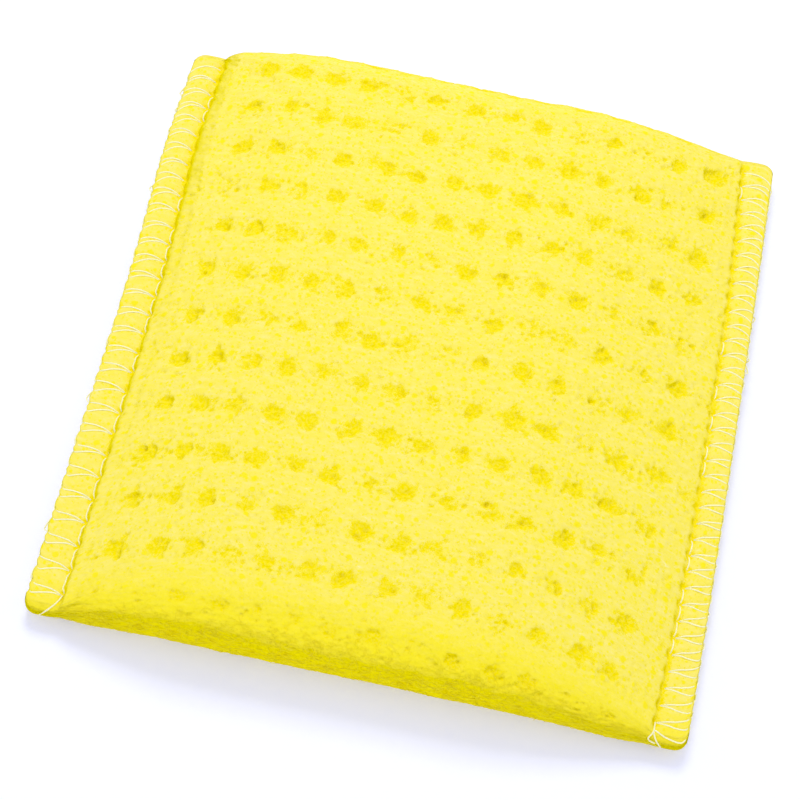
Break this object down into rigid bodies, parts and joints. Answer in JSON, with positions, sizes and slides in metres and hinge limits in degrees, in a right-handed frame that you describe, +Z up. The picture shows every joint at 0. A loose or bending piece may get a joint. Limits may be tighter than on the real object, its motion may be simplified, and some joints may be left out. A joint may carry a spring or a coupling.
{
  "type": "foam sponge pad",
  "caption": "Flat hand-held sponge pad: a foam slab folded into one sheet of soft dimpled nonwoven cloth, closed by an overlock seam along two sides.",
  "frame": {"origin": "middle of the flat underside, on the surface that the pad lies on", "axes": "+X from the coarser left seam to the finer right seam, +Y from the front fold to the back fold, +Z up through the pad"},
  "size_m": [0.12, 0.128, 0.016],
  "materials": {
    "foam": "matte",
    "cloth": "matte",
    "thread": "satin"
  },
  "bodies": {
    "root": {"foam_core": "foam", "cover_sheet": "cloth", "left_needle_thread": "thread", "left_upper_looper_thread": "thread", "left_lower_looper_thread": "thread", "right_needle_thread": "thread", "right_upper_looper_thread": "thread", "right_lower_looper_thread": "thread"}
  },
  "joints": []
}
